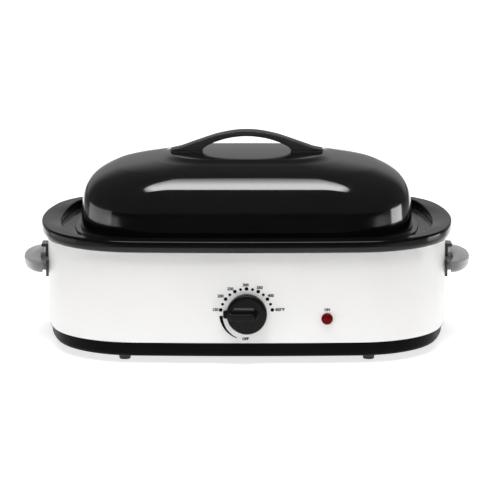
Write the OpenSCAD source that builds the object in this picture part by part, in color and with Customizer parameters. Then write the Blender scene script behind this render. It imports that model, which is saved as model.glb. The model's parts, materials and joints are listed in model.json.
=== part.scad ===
// Electric roaster oven: lift-off domed lid, removable roasting pan with a wire rack,
// and a heated oval housing with a rotary thermostat on its front.
// Front faces -Y. The origin is the centre of the footprint, in the plane of the feet.

/* [Housing] */
// Half width of the rim (end to centre)
rim_a = 282; // [280:0.5:284]
// Half depth of the rim
rim_b = 200; // [199:0.5:201]
// Height of the rim's flat top above the table
rim_top = 167.4; // [166.5:0.1:168.5]
// Height at which the outer wrap meets the base
wrap_z0 = 29.36; // [29.2:0.02:29.5]
// Sheet thickness of the outer wrap
wrap_t = 1.0; // [0.8:0.1:1.1]
// Height of the feet
foot_h = 9; // [8.5:0.1:9]
// Depth of the finger dips at the two ends of the rim
dip = 3; // [1:0.5:8]

/* [Pan and lid] */
// Half width of the lid's dome at its foot
lid_a = 227.6; // [227:0.1:228]
// Half depth of the lid's dome at its foot
lid_b = 148.5; // [148:0.1:149]
// Sheet thickness of the lid
lid_t = 1.1; // [0.9:0.1:1.2]
// Height of the roasting pan's underside
pan_z0 = 38; // [37:0.5:40]
// Clearance between pieces that lift off each other
lift_gap = 0.3; // [0.25:0.05:0.4]

/* [Controls] */
// Height of the knob's centre
knob_z = 69.4; // [69:0.1:70]
// Radius of the knob's round skirt
knob_r = 26.8; // [26:0.1:27.4]
// Depth of the knob from the wrap to its front
knob_d = 29.7; // [26:0.1:31]
// Radius of the thermostat's shaft
shaft_r = 3; // [3:0.05:3.05]
// Running clearance round the shaft
run_gap = 0.05; // [0.04:0.01:0.08]

/* [Handles] */
// Half span of a side handle's grip
grip_s = 72; // [66:0.5:74]
// Reach of a side handle's grip from its inner edge
grip_d = 23; // [20:0.5:23.5]
// Width of the lid handle's strap
strap_w = 23.5; // [20:0.5:26]

/* [Hidden] */
$fn = 48;

// the oval sits this far behind the origin, so the footprint with the knob is centred
y0 = 10.5;

// ---- ovals: four pairs of tangent arcs -----------------------------------------
// [half width, half depth, radius of the long arcs, radius of the end arcs, corner radius]
rim_o = [rim_a, rim_b, 2885, 385.5, 129.7];
rec_o = [rim_a - 26.7, rim_b - 27, 2858, 480, 75];
lid_o = [lid_a, lid_b, 2308, 311, 112.6];
// segments along a quarter: end arc, corner arc, long arc
n_end = 6; n_cor = 7; n_long = 5;
n_q = n_end + n_cor + n_long;
n_all = 4 * n_q;

function c_long(o) = [0, o[1] - o[2]];
function c_end(o) = [o[0] - o[3], 0];
function c_cor(o) = let (a = c_long(o), b = c_end(o), q1 = o[2] - o[4], q2 = o[3] - o[4],
    d = norm(b - a), k = (q1 * q1 - q2 * q2 + d * d) / (2 * d), h = sqrt(q1 * q1 - k * k),
    u = (b - a) / d, m = a + k * u, p = m + h * [u[1], -u[0]], q = m - h * [u[1], -u[0]])
    p[0] + p[1] > q[0] + q[1] ? p : q;
function on_arc(c, r, t) = [c[0] + r * cos(t), c[1] + r * sin(t)];
function ang(v) = atan2(v[1], v[0]);
// a quarter of the oval, from the end at angle 0 to the long side at angle 90
function quarter(o, i = 0) = let (p = c_cor(o), t1 = ang(p - c_long(o)), t2 = ang(p - c_end(o))) concat(
    [for (k = [0 : n_end - 1]) on_arc(c_end(o), o[3] - i, t2 * k / n_end)],
    [for (k = [0 : n_cor - 1]) on_arc(p, o[4] - i, t2 + (t1 - t2) * k / n_cor)],
    [for (k = [0 : n_long]) on_arc(c_long(o), o[2] - i, t1 + (90 - t1) * k / n_long)]);
// the whole oval, inset by i all round
function oval(o, i = 0) = let (q = quarter(o, i), n = n_q) concat(
    [for (k = [0 : n - 1]) q[k]],
    [for (k = [0 : n - 1]) [-q[n - k][0], q[n - k][1]]],
    [for (k = [0 : n - 1]) -q[k]],
    [for (k = [0 : n - 1]) [q[n - k][0], -q[n - k][1]]]);
function lift(pts, z) = [for (p = pts) [p[0], p[1], z]];
function mix(a, b, t) = [for (k = [0 : len(a) - 1]) a[k] * (1 - t) + b[k] * t];

// skins a stack of rings; closed = true joins the last ring to the first.
// The rings run anticlockwise and upwards on the outside; flip = true is for a stack that runs the other way.
module skin(rings, closed = false, flip = false) {
    n = len(rings[0]);
    m = len(rings);
    steps = closed ? m : m - 1;
    faces = concat(
        [for (i = [0 : steps - 1]) for (j = [0 : n - 1]) let (a = i * n + j, b = i * n + (j + 1) % n,
            c = ((i + 1) % m) * n + (j + 1) % n, d = ((i + 1) % m) * n + j) each [[a, c, b], [a, d, c]]],
        closed ? [] : [[for (j = [0 : n - 1]) j], [for (j = [n - 1 : -1 : 0]) (m - 1) * n + j]]);
    polyhedron(
        points = [for (r = rings) for (p = r) p],
        faces = flip ? [for (f = faces) [for (k = [len(f) - 1 : -1 : 0]) f[k]]] : faces);
}
module oval_band(o, i_out, i_in, z0, z1) {
    translate([0, 0, z0]) linear_extrude(z1 - z0) difference() {
        polygon(oval(o, i_out));
        polygon(oval(o, i_in));
    }
}
// a cylinder along Y from y1 to y2
module y_rod(x, z, r, y1, y2) { translate([x, y2, z]) rotate([90, 0, 0]) cylinder(h = y2 - y1, r = r); }
// a cylinder along X from x1 to x2
module x_rod(y, z, r, x1, x2) { translate([x1, y, z]) rotate([0, 90, 0]) cylinder(h = x2 - x1, r = r); }
// place of the wrap's outer face: y at a given x on the long side, x at a given y on the end
wrap_i = 8.68;
function wall_y(x, i = wrap_i) = rim_b - i - (rim_o[2] - i) + sqrt((rim_o[2] - i) * (rim_o[2] - i) - x * x);
function wall_x(y, i = wrap_i) = rim_a - i - (rim_o[3] - i) + sqrt((rim_o[3] - i) * (rim_o[3] - i) - y * y);

// ---- lid --------------------------------------------------------------------------
// dome section: [scale of the half width, height]; the depth's proportion changes towards the plateau
dome = [[0.455, 257], [0.505, 253.5], [0.575, 251.2], [0.687, 247], [0.795, 241], [0.865, 234], [0.919, 226],
    [0.954, 217], [0.977, 207], [0.990, 195], [0.9955, 180], [1, 162], [1, 158.6]];
dome_in = [[0.9950, 160], [0.9905, 180], [0.9852, 195], [0.9720, 206.8], [0.9490, 216.5], [0.9143, 225.3],
    [0.8600, 233.1], [0.790, 240.0], [0.682, 245.9], [0.571, 250.05], [0.4705, 252.95], [0.4502, 257 - lid_t]];
function dome_ring(s, z) = let (k = (0.725 + (lid_b / lid_a - 0.725) * (s - 0.455) / 0.545) / (lid_b / lid_a))
    [for (p = oval(lid_o)) [p[0] * s, p[1] * s * k, z]];
flange_z = 155.5 + lift_gap;
handle_x = 88;

module lid_shell() {
    color([0.07, 0.07, 0.08]) translate([0, y0, 0]) difference() {
        skin(flip = true, rings = concat(
            [for (d = dome) dome_ring(d[0], d[1])],
            [lift(oval(lid_o, -1.2), flange_z + 1.1), lift(oval(lid_o, -8.1), flange_z + 1.1),
             lift(oval(lid_o, -8.1), flange_z), lift(oval(lid_o, 0.4), flange_z)],
            [for (d = dome_in) dome_ring(d[0], d[1])]));
        for (s = [-1, 1]) translate([s * handle_x, 0, 250]) cylinder(h = 12, r = 2.3, $fn = 12);
    }
}
// outline of the strap: outer curve, then the inner curve back
strap_out = [[104, 259], [104, 260.4], [101, 261.6], [91.4, 263.6], [74.8, 269.4], [58.2, 275.2], [48, 278.6], [41.6, 280.6],
    [33, 282.6], [25.1, 284.2], [16, 285.6], [8, 286.3]];
strap_in = [[61, 259], [60.2, 261.4], [57.4, 264], [53.3, 266.7], [45, 270.4], [37.2, 273.2], [28, 275.8], [18, 277.7], [8, 278.8]];
module lid_handle() {
    color([0.1, 0.1, 0.11]) translate([0, y0, 0]) difference() {
        rotate([90, 0, 0]) translate([0, 0, -strap_w / 2]) linear_extrude(strap_w) polygon(concat(
            [for (p = strap_out) p], [[0, 286.5]], [for (k = [len(strap_out) - 1 : -1 : 0]) [-strap_out[k][0], strap_out[k][1]]],
            [for (p = strap_in) [-p[0], p[1]]], [[0, 279.1]], [for (k = [len(strap_in) - 1 : -1 : 0]) strap_in[k]]));
        for (s = [-1, 1]) translate([s * handle_x, 0, 250]) cylinder(h = 12.5, r = 2);
    }
}
module lid_handle_pads() {
    color([0.05, 0.05, 0.05]) translate([0, y0, 0]) for (s = [-1, 1]) difference() {
        translate([s * 82.5, 0, 257]) linear_extrude(2) union() {
            square([36, 25.5], center = true);
            square([44, 17.5], center = true);
            for (a = [-1, 1], b = [-1, 1]) translate([a * 18, b * 8.75]) circle(r = 4);
        }
        translate([s * handle_x, 0, 256]) cylinder(h = 4, r = 2.3);
    }
}
module lid_handle_washers() {
    color([0.75, 0.75, 0.76]) translate([0, y0, 0]) for (s = [-1, 1]) translate([s * handle_x, 0, 257 - lid_t - 1]) difference() {
        cylinder(h = 1, r = 6);
        translate([0, 0, -1]) cylinder(h = 3, r = 2.3);
    }
}
module lid_handle_screws() {
    color([0.78, 0.78, 0.8]) translate([0, y0, 0]) for (s = [-1, 1]) translate([s * handle_x, 0, 257 - lid_t - 1]) {
        difference() {
            union() {
                translate([0, 0, -2.6]) cylinder(h = 2.6, r = 4);
                cylinder(h = 7.4, r = 1.98);
            }
            translate([0, 0, -3]) linear_extrude(1.6) union() { square([5, 1], center = true); square([1, 5], center = true); }
        }
    }
}

// ---- pan and rack ------------------------------------------------------------------
module roasting_pan() {
    color([0.12, 0.12, 0.13]) translate([0, y0, 0]) skin(concat(
        [for (d = [[26, 0], [17, 0.9], [11.4, 4.2], [8.3, 9.5], [7.2, 18], [2.6, 110], [1.2, 114.6]]) lift(oval(lid_o, d[0]), pan_z0 + d[1])],
        [lift(oval(lid_o, -1.4), 154.3), lift(oval(rec_o, 0.8), 154.3), lift(oval(rec_o, 0.8), 155.5), lift(oval(lid_o, -1.2), 155.5)],
        [for (d = [[2.5, 114.6], [3.8, 110], [8.4, 18], [9.5, 10.1], [12.4, 5.2], [17.8, 2.1], [26, 1.2]]) lift(oval(lid_o, d[0]), pan_z0 + d[1])]));
}
rack_a = 192; rack_b = 116; rack_c = 70; rack_z = 52; wire = 2.5;
module rack() {
    color([0.8, 0.8, 0.82]) translate([0, y0, 0]) {
        for (s = [-1, 1]) {
            translate([-(rack_a - rack_c), s * rack_b, rack_z]) rotate([0, 90, 0]) cylinder(h = 2 * (rack_a - rack_c), r = wire);
            translate([s * rack_a, rack_b - rack_c, rack_z]) rotate([90, 0, 0]) cylinder(h = 2 * (rack_b - rack_c), r = wire);
        }
        for (q = [0 : 3]) translate([(q == 0 || q == 3 ? 1 : -1) * (rack_a - rack_c), (q < 2 ? 1 : -1) * (rack_b - rack_c), rack_z])
            rotate([0, 0, 90 * q]) rotate_extrude(angle = 90) translate([rack_c, 0]) circle(r = wire);
        // cross wires rest on the frame, sunk a little where they are welded
        for (k = [-4 : 4]) translate([k * 32, rack_b + 1, rack_z + 3.4]) rotate([90, 0, 0]) cylinder(h = 2 * rack_b + 2, r = 1.7);
        // feet
        for (a = [-1, 1], b = [-1, 1]) translate([a * 100, b * rack_b, pan_z0 + 1.2 + lift_gap]) cylinder(h = rack_z - pan_z0 - 1.5, r = 2.2);
        // two lifting loops
        for (s = [-1, 1]) {
            for (b = [-1, 1]) translate([s * rack_a, b * 28, rack_z]) cylinder(h = 50, r = 2.2);
            for (b = [-1, 1]) translate([s * rack_a, b * 28, rack_z + 50]) sphere(r = 2.2);
            translate([s * rack_a, 28, rack_z + 50]) rotate([90, 0, 0]) cylinder(h = 56, r = 2.2);
        }
    }
}

// ---- housing shells ------------------------------------------------------------------
function dipped(o) = [for (p = oval(o)) let (t = min(1, max(0, (abs(p[1]) - 15) / 90))) abs(p[0]) < 150 ? 0 : 1 - t * t * (3 - 2 * t)];
module top_ring() {
    w = dipped(rec_o);
    a = oval(rim_o, 2.3);
    b = oval(rec_o, -1.8);
    color([0.1, 0.1, 0.11]) translate([0, y0, 0]) skin(closed = true, rings = concat(
        [for (d = [[4.6, -16.2], [2.2, -15.2], [0.6, -12.6], [0, -8.9], [0, -3.9], [0.7, -1.2], [2.3, 0]]) lift(oval(rim_o, d[0]), rim_top + d[1])],
        [for (t = [0.3, 0.65, 1]) [for (k = [0 : n_all - 1]) [a[k][0] * (1 - t) + b[k][0] * t, a[k][1] * (1 - t) + b[k][1] * t, rim_top - dip * w[k] * t]]],
        [[for (k = [0 : n_all - 1]) let (p = oval(rec_o, -0.4)[k]) [p[0], p[1], rim_top - dip * w[k] - 0.5]]],
        [[for (k = [0 : n_all - 1]) let (p = oval(rec_o)[k]) [p[0], p[1], rim_top - dip * w[k] - 1.8]]],
        // the recess wall stands on the well's flange
        [lift(oval(rec_o), 154.1), lift(oval(rec_o, -2), 154.1)],
        [[for (k = [0 : n_all - 1]) let (p = oval(rec_o, -2.2)[k]) [p[0], p[1], rim_top - dip * w[k] - 2.6]]],
        [for (t = [0.5]) [for (k = [0 : n_all - 1]) [a[k][0] * (1 - t) + b[k][0] * t, a[k][1] * (1 - t) + b[k][1] * t, rim_top - dip * w[k] * t - 2]]],
        [lift(oval(rim_o, 4.6), rim_top - 2.4), lift(oval(rim_o, 2.6), rim_top - 5), lift(oval(rim_o, 2.8), rim_top - 11), lift(oval(rim_o, 5.6), rim_top - 14.6)]));
}
lamp_x = 106.2; lamp_z = 62.1;
// the cord's outlet is straight behind the lamp
gland_x = lamp_x; gland_z = lamp_z;
block_z = 56;
hs_y = 28; hs_z = 103.5;
module body_wrap() {
    color([0.93, 0.92, 0.9]) translate([0, y0, 0]) difference() {
        oval_band(rim_o, wrap_i, wrap_i + wrap_t, wrap_z0, 157);
        // clearance holes, twelve-sided
        y_rod(0, knob_z, 5.1, -205, -180, $fn = 12);
        for (s = [-1, 1]) y_rod(s * 14, knob_z, 2.1, -205, -180, $fn = 12);
        y_rod(lamp_x, lamp_z, 4.9, -205, -180, $fn = 12);
        y_rod(gland_x, gland_z, 8.25, 180, 205, $fn = 12);
        for (s = [-1, 1]) y_rod(60 + s * 12, block_z - 14, 1.7, 180, 205, $fn = 12);
        for (b = [-1, 1]) { x_rod(b * hs_y, hs_z, 2.2, 260, 280, $fn = 12); x_rod(b * hs_y, hs_z, 2.2, -280, -260, $fn = 12); }
    }
}
stud_x = 120; stud_y = 70;
module heating_well() {
    color([0.62, 0.63, 0.65]) translate([0, y0, 0]) skin(concat(
        [for (d = [[13, 30], [4, 30.9], [-2.4, 35], [-6, 41], [-7, 47], [-7, 153]]) lift(oval(lid_o, d[0]), d[1])],
        // the turned-out flange that the pan hangs on
        [lift(oval(rec_o, -2.6), 153), lift(oval(rec_o, -2.6), 154)],
        [for (d = [[-6, 154], [-6, 47], [-5, 41.4], [-1.7, 35.8], [4.3, 31.9], [13, 31]]) lift(oval(lid_o, d[0]), d[1])]));
}
foot_x = 163; foot_y = 151;
module base_pan() {
    color([0.11, 0.11, 0.12]) translate([0, y0, 0]) difference() {
        skin([for (d = [[22, foot_h], [17.6, foot_h + 0.7], [14.4, foot_h + 2.9], [12.8, foot_h + 6.6], [12.8, wrap_z0 - 1.2], [8.9, wrap_z0 - 1.2],
            [8.9, wrap_z0], [9.8, wrap_z0], [9.8, 38], [11, 38], [11, wrap_z0], [14, wrap_z0], [14, foot_h + 6.7], [15.4, foot_h + 3.8], [18.1, foot_h + 1.8], [22, foot_h + 1.2]])
            lift(oval(rim_o, d[0]), d[1])]);
        for (a = [-1, 1], b = [-1, 1]) {
            translate([a * foot_x, b * foot_y, foot_h - 1]) cylinder(h = 4, r = 2.1);
            translate([a * stud_x, b * stud_y, foot_h - 1]) cylinder(h = 4, r = 2.1);
        }
        // ventilation slots under the well
        for (a = [-1, 1], k = [-2 : 2]) translate([a * 60 - 20, k * 16 - 2, foot_h - 1]) cube([40, 4, 4]);
    }
}
module insulation_blanket() {
    color([0.93, 0.88, 0.72]) translate([0, y0, 0]) difference() {
        oval_band(lid_o, -24, -12.5, 42, 147);
        translate([-55, -185, 36]) cube([185, 40, 68]);
        translate([28, 145, 36]) cube([102, 40, 44]);
    }
}
module heat_shield() {
    color([0.7, 0.71, 0.72]) translate([0, y0, 0]) difference() {
        union() {
            translate([0, 0, 20]) linear_extrude(0.8) polygon(oval(lid_o, 6));
            translate([0, 0, 20]) linear_extrude(5) difference() { polygon(oval(lid_o, 6)); polygon(oval(lid_o, 6.8)); }
        }
        for (a = [-1, 1], b = [-1, 1]) translate([a * stud_x, b * stud_y, 18]) cylinder(h = 6, r = 2.2);
    }
}

// ---- heating element -------------------------------------------------------------------
module heating_element() {
    color([0.82, 0.8, 0.72]) translate([0, y0, 0]) difference() {
        oval_band(lid_o, -10.2, -7.2, 58, 86);
        translate([-22, -175, 50]) cube([44, 30, 44]);
    }
}
module element_retainer() {
    color([0.72, 0.73, 0.74]) translate([0, y0, 0]) difference() {
        oval_band(lid_o, -11.1, -10.3, 66, 78);
        translate([-26, -175, 50]) cube([52, 30, 44]);
    }
}
module element_terminals() {
    color([0.7, 0.6, 0.4]) translate([0, y0, 0]) for (s = [-1, 1]) translate([s * 17.5, 0, 0]) {
        translate([-4, -lid_b - 9.6, 66]) cube([8, 2, 12]);
        translate([-2.5, -lid_b - 13, 70]) cube([5, 3.4, 0.8]);
    }
}

// ---- thermostat, knob and lamp -------------------------------------------------------------
face_y = -wall_y(0);          // outer face of the wrap at the front centre
in_y = face_y + wrap_t;       // its inner face
module thermostat_bracket() {
    color([0.7, 0.7, 0.72]) translate([0, y0, 0]) difference() {
        union() {
            translate([-24, in_y + 0.25, knob_z - 17]) cube([48, 1.2, 34]);
            for (s = [-1, 1]) translate([s * 22.8 - 1.2, in_y + 0.25, knob_z - 12]) cube([2.4 - 1.2, 16, 24]);
        }
        y_rod(0, knob_z, 5, in_y - 1, in_y + 4);
        for (s = [-1, 1]) y_rod(s * 14, knob_z, 2.1, in_y - 1, in_y + 4);
    }
}
module thermostat_body() {
    color([0.88, 0.85, 0.78]) translate([0, y0, 0]) difference() {
        union() {
            translate([-19, in_y + 6.5, knob_z - 14]) cube([38, 15, 28]);
            y_rod(0, knob_z, 9, in_y + 1.5, in_y + 6.5);
            for (s = [-1, 1]) translate([s * 10 - 2.5, in_y + 12, knob_z - 20]) cube([5, 0.8, 6]);
        }
        y_rod(0, knob_z, shaft_r + run_gap, in_y, in_y + 17);
        // end of the bushing sits in a counterbore
        y_rod(0, knob_z, 4.9, in_y + 1, in_y + 5);
    }
}
module thermostat_bushing() {
    color([0.8, 0.72, 0.45]) translate([0, y0, 0]) difference() {
        y_rod(0, knob_z, 4.85, face_y - 3.6, in_y + 4.9);
        y_rod(0, knob_z, shaft_r + run_gap, face_y - 5, in_y + 6);
    }
}
module thermostat_nut() {
    color([0.78, 0.78, 0.8]) translate([0, y0, 0]) difference() {
        translate([0, face_y - 0.1, knob_z]) rotate([90, 0, 0]) cylinder(h = 2.4, r = 8.1, $fn = 6);
        y_rod(0, knob_z, 4.9, face_y - 4, face_y + 1);
    }
}
module thermostat_screws() {
    color([0.78, 0.78, 0.8]) translate([0, y0, 0]) for (s = [-1, 1]) difference() {
        union() {
            y_rod(s * 14, knob_z, 3.4, face_y - 2.1, face_y - 0.1);
            y_rod(s * 14, knob_z, 1.98, face_y - 0.1, in_y + 6);
        }
        translate([s * 14 - 2.4, face_y - 2.6, knob_z - 0.5]) cube([4.8, 1.5, 1]);
    }
}
module thermostat_shaft() {
    color([0.8, 0.8, 0.82]) translate([0, y0, 0]) difference() {
        y_rod(0, knob_z, shaft_r, face_y - 20, in_y + 16.5);
        // flat of the D
        translate([-5, face_y - 21, knob_z + 1.6]) cube([10, 15, 5]);
    }
}
module control_knob() {
    color([0.06, 0.06, 0.07]) translate([0, y0, 0]) difference() {
        translate([0, face_y - 1, knob_z]) rotate([90, 0, 0]) union() {
            difference() {
                rotate_extrude() polygon([[0, 0], [knob_r, 0], [knob_r, 5.5], [knob_r - 0.8, 9.5], [knob_r - 2.6, 11], [0, 11.4]]);
                translate([0, 0, -1]) cylinder(h = 8, r = 22);
            }
            // hub on the shaft
            translate([0, 0, 4]) cylinder(h = 6, r = 6.2);
            // grip bar on the skirt, scooped in three steps: [radius of its ends, left end, height]
            for (b = [[9.5, -14.5, 13], [6.4, -17.5, 17.5], [4.6, -19, knob_d - 1]]) translate([0, 0, 10]) linear_extrude(b[2] - 10) union() {
                translate([b[1], -b[0]]) square([6 - b[1], 2 * b[0]]);
                translate([b[1], 0]) circle(r = b[0]);
                translate([6, 0]) circle(r = b[0]);
            }
            // pointer
            linear_extrude(7) polygon([[-25, -5.8], [-30.6, -4.6], [-31.2, -3.4], [-31.2, 3.4], [-30.6, 4.6], [-25, 5.8]]);
        }
        difference() {
            y_rod(0, knob_z, shaft_r + 0.02, face_y - 20.2, face_y);
            translate([-5, face_y - 20.4, knob_z + 1.62]) cube([10, 14.4, 5]);
        }
    }
}
lamp_y = -wall_y(lamp_x);
module lamp_lens() {
    color([0.45, 0.02, 0.05]) translate([lamp_x, y0 + lamp_y - 0.35, lamp_z]) rotate([90, 0, 0]) difference() {
        rotate_extrude() polygon([[0, -12], [4.6, -12], [4.6, 0], [7.6, 0], [7.6, 1.5], [7.1, 2.6], [5.6, 3.8], [3.2, 4.6], [0, 4.9]]);
        translate([0, 0, -13]) cylinder(h = 14.5, r = 3.5);
    }
}
module lamp_bulb() {
    color([0.95, 0.75, 0.6]) translate([lamp_x, y0 + lamp_y - 0.35, lamp_z]) rotate([90, 0, 0]) {
        translate([0, 0, -11]) cylinder(h = 9, r = 3);
        translate([0, 0, -2]) sphere(r = 3);
    }
}
module lamp_clip() {
    color([0.78, 0.78, 0.8]) translate([lamp_x, y0 + lamp_y + 1.7, lamp_z]) rotate([-90, 0, 0]) difference() {
        cylinder(h = 1, r = 8.5);
        translate([0, 0, -1]) cylinder(h = 3, r = 4.62);
    }
}

// ---- side handles ------------------------------------------------------------------------------
// a strip that follows the end wall, from y1 to y2, between two distances off it
function strip(y1, y2, d1, d2, n = 10) = concat(
    [for (k = [0 : n]) let (y = y1 + (y2 - y1) * k / n) [wall_x(y) + d1, y]],
    [for (k = [n : -1 : 0]) let (y = y1 + (y2 - y1) * k / n) [wall_x(y) + d2, y]]);
grip_in = 284;
// plan of the grip, inset by i on its outer side
function grip(i, n = 22) = concat(
    [for (k = [0 : n]) let (t = -90 + 180 * k / n, y = (grip_s - i) * sign(t) * pow(abs(sin(t)), 0.72), d = (grip_d - i) * pow(max(cos(t), 0), 0.9)) [grip_in - y * y / 753 + d, y]],
    [for (k = [1 : 7]) let (y = (grip_s - i) * (1 - 2 * k / 8)) [grip_in - y * y / 753, y]]);
module side_handle() {
    difference() {
        union() {
            skin([for (d = [[9, 99.6], [5, 100.6], [2, 103.2], [0.5, 106.6], [0, 110], [0, 113.6], [0.5, 114.6], [1.6, 115]]) lift(grip(d[0]), d[1])]);
            translate([0, 0, 99]) linear_extrude(9) polygon(strip(-42, 42, 4.1, 14));
        }
        for (b = [-1, 1]) x_rod(b * hs_y, hs_z, 2, 265, 291);
        // arched underside of the web
        for (b = [-1, 1]) translate([266, b * 14, 92]) rotate([0, 90, 0]) cylinder(h = 17, r = 9);
    }
}
module side_handle_right() { color([0.09, 0.09, 0.1]) translate([0, y0, 0]) side_handle(); }
module side_handle_left() { color([0.09, 0.09, 0.1]) translate([0, y0, 0]) mirror([1, 0, 0]) side_handle(); }
module handle_plates() {
    color([0.05, 0.05, 0.05]) translate([0, y0, 0]) for (s = [0, 1]) mirror([s, 0, 0]) difference() {
        union() {
            translate([0, 0, 95]) linear_extrude(17) polygon(strip(-42, 42, 0.1, 4));
            translate([0, 0, 84]) linear_extrude(44) polygon(strip(-13, 13, 0.1, 4));
            translate([0, 0, 125.6]) linear_extrude(4.6) polygon(strip(-13, 13, 0.1, 9.7));
        }
        for (b = [-1, 1]) x_rod(b * hs_y, hs_z, 2.2, 260, 285);
    }
}
module side_handle_screws() {
    color([0.75, 0.75, 0.77]) translate([0, y0, 0]) for (s = [0, 1]) mirror([s, 0, 0]) for (b = [-1, 1]) {
        difference() {
            union() {
                x_rod(b * hs_y, hs_z, 4.2, wall_x(hs_y) - wrap_t - 3.2, wall_x(hs_y) - wrap_t - 0.6);
                x_rod(b * hs_y, hs_z, 1.98, wall_x(hs_y) - wrap_t - 0.6, 290);
            }
            translate([wall_x(hs_y) - wrap_t - 4, b * hs_y - 3, hs_z - 0.5]) cube([2, 6, 1]);
        }
    }
}

// ---- feet and base fastenings ---------------------------------------------------------------------
module feet() {
    color([0.14, 0.14, 0.15]) translate([0, y0, 0]) for (a = [-1, 1], b = [-1, 1]) translate([a * foot_x, b * foot_y, 0]) difference() {
        rotate_extrude() polygon([[0, 0], [7, 0], [7.6, 0.8], [8.2, foot_h], [0, foot_h]]);
        translate([0, 0, -1]) cylinder(h = 6, r = 4.6);
        cylinder(h = foot_h + 1, r = 2.1);
    }
}
module foot_screws() {
    color([0.75, 0.75, 0.77]) translate([0, y0, 0]) for (a = [-1, 1], b = [-1, 1]) translate([a * foot_x, b * foot_y, 0]) difference() {
        union() { translate([0, 0, 2.4]) cylinder(h = 2.6, r = 4); translate([0, 0, 5]) cylinder(h = 10, r = 1.98); }
        translate([0, 0, 2]) linear_extrude(1.6) union() { square([5, 1], center = true); square([1, 5], center = true); }
    }
}
module foot_nuts() {
    color([0.75, 0.75, 0.77]) translate([0, y0, 0]) for (a = [-1, 1], b = [-1, 1]) translate([a * foot_x, b * foot_y, foot_h + 1.2]) difference() {
        cylinder(h = 3, r = 4.2, $fn = 6);
        translate([0, 0, -1]) cylinder(h = 5, r = 2);
    }
}
module well_studs() {
    color([0.75, 0.75, 0.77]) translate([0, y0, 0]) for (a = [-1, 1], b = [-1, 1]) translate([a * stud_x, b * stud_y, 4]) {
        cylinder(h = 25.2, r = 1.98);
        translate([0, 0, 25.2]) cylinder(h = 0.8, r = 6);
    }
}
module stud_nuts() {
    color([0.75, 0.75, 0.77]) translate([0, y0, 0]) for (a = [-1, 1], b = [-1, 1]) translate([a * stud_x, b * stud_y, foot_h - 3.2]) difference() {
        cylinder(h = 3.2, r = 4.2, $fn = 6);
        translate([0, 0, -1]) cylinder(h = 6, r = 2);
    }
}
module standoffs() {
    color([0.72, 0.73, 0.74]) translate([0, y0, 0]) for (a = [-1, 1], b = [-1, 1]) translate([a * stud_x, b * stud_y, 0]) for (z = [[foot_h + 1.2, 20], [20.8, 29.2]])
        translate([0, 0, z[0]]) difference() { cylinder(h = z[1] - z[0], r = 4.5); translate([0, 0, -1]) cylinder(h = z[1] - z[0] + 2, r = 2.1); }
}

// ---- power entry and internal wiring ------------------------------------------------------------------
gy = wall_y(gland_x);
module cord_gland() {
    color([0.08, 0.08, 0.08]) translate([gland_x, y0 + gy, gland_z]) rotate([-90, 0, 0]) difference() {
        union() {
            translate([0, 0, 0.5]) cylinder(h = 2.5, r = 11);
            translate([0, 0, -9]) cylinder(h = 10, r = 7.9);
            translate([0, 0, -4.5]) cylinder(h = 2.6, r = 10);
        }
        translate([0, 0, -10]) cylinder(h = 20, r = 4.5);
    }
}
module terminal_bracket() {
    color([0.7, 0.7, 0.72]) translate([60, y0, block_z]) difference() {
        union() {
            translate([-17, wall_y(75) - wrap_t - 1.5, -18]) cube([34, 1.2, 8]);
            translate([-17, 167, -10.5]) cube([34, wall_y(75) - wrap_t - 167.3, 1.2]);
        }
        for (s = [-1, 1]) y_rod(s * 12, -14, 1.7, 180, 195);
    }
}
module terminal_block() {
    color([0.9, 0.88, 0.82]) translate([60, y0, block_z]) difference() {
        translate([-15, 168, -9.3]) cube([30, 13, 14]);
        for (s = [-1, 1]) translate([s * 7.5 - 4.5, 167, 0.6]) cube([9, 15, 6]);
    }
}
module terminal_screws() {
    color([0.78, 0.74, 0.5]) translate([60, y0, block_z]) {
        for (s = [-1, 1]) translate([s * 7.5, 174.5, 0.6]) difference() { cylinder(h = 2.2, r = 2.6); translate([-2, -0.4, 1.2]) cube([4, 0.8, 2]); }
        for (s = [-1, 1]) { y_rod(s * 12, -14, 1.5, wall_y(75) - 4, wall_y(48) + 0.2); y_rod(s * 12, -14, 3, wall_y(48) + 0.2, wall_y(48) + 2); }
    }
}
// a tube swept along points, nearly round
function unit(v) = v / norm(v);
function tangent(p, k) = unit(p[min(k + 1, len(p) - 1)] - p[max(k - 1, 0)]);
function side(t) = let (s = cross(t, [0, 0, 1])) norm(s) < 0.05 ? cross(t, [1, 0, 0]) / norm(cross(t, [1, 0, 0])) : unit(s);
module tube(p, r, sides = 8) {
    skin(flip = true, rings = [for (k = [0 : len(p) - 1]) let (t = tangent(p, k), s = side(t), u = cross(s, t))
        [for (j = [0 : sides - 1]) p[k] + r * (cos(360 * j / sides) * s + sin(360 * j / sides) * u)]]);
}
// part of an oval as a run of points, i1 to i2 round it
function run(o, i, i1, i2, z) = let (q = oval(o, i), d = i2 > i1 ? 1 : -1) [for (k = [i1 : d : i2]) let (p = q[(k + 2 * n_all) % n_all]) [p[0], p[1], z]];
module lead_line() {
    color([0.75, 0.1, 0.08]) translate([0, y0, 0]) tube(concat(
        [[67.5, 178.6, block_z + 1.9], [67.5, 183, block_z + 1.9], [73, 185.6, 56], [80, 185.6, 51.5], [85, 183, 46.5], [93, 180, 42.5]], run(lid_o, -31, 13, -13, 40),
        [[60, -181, 42], [30, -179, 44], [12, -178, 46], [10, in_y + 12.4, 48.6]]), 1.2);
}
module lead_neutral() {
    color([0.92, 0.92, 0.92]) translate([0, y0, 0]) tube(concat(
        [[52.5, 178.6, block_z + 1.9], [52.5, 183, block_z + 1.9], [47, 185.6, 56], [40, 185.6, 51.5], [35, 183, 46.5], [27, 180, 42.5]], run(lid_o, -31, 20, 51, 40),
        [[-44, -180, 44], [-38, -176, 54], [-32, -168, 66], [-24, -164.5, 70.4], [-17.5, -lid_b - 14.8, 70.4]]), 1.2);
}
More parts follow.
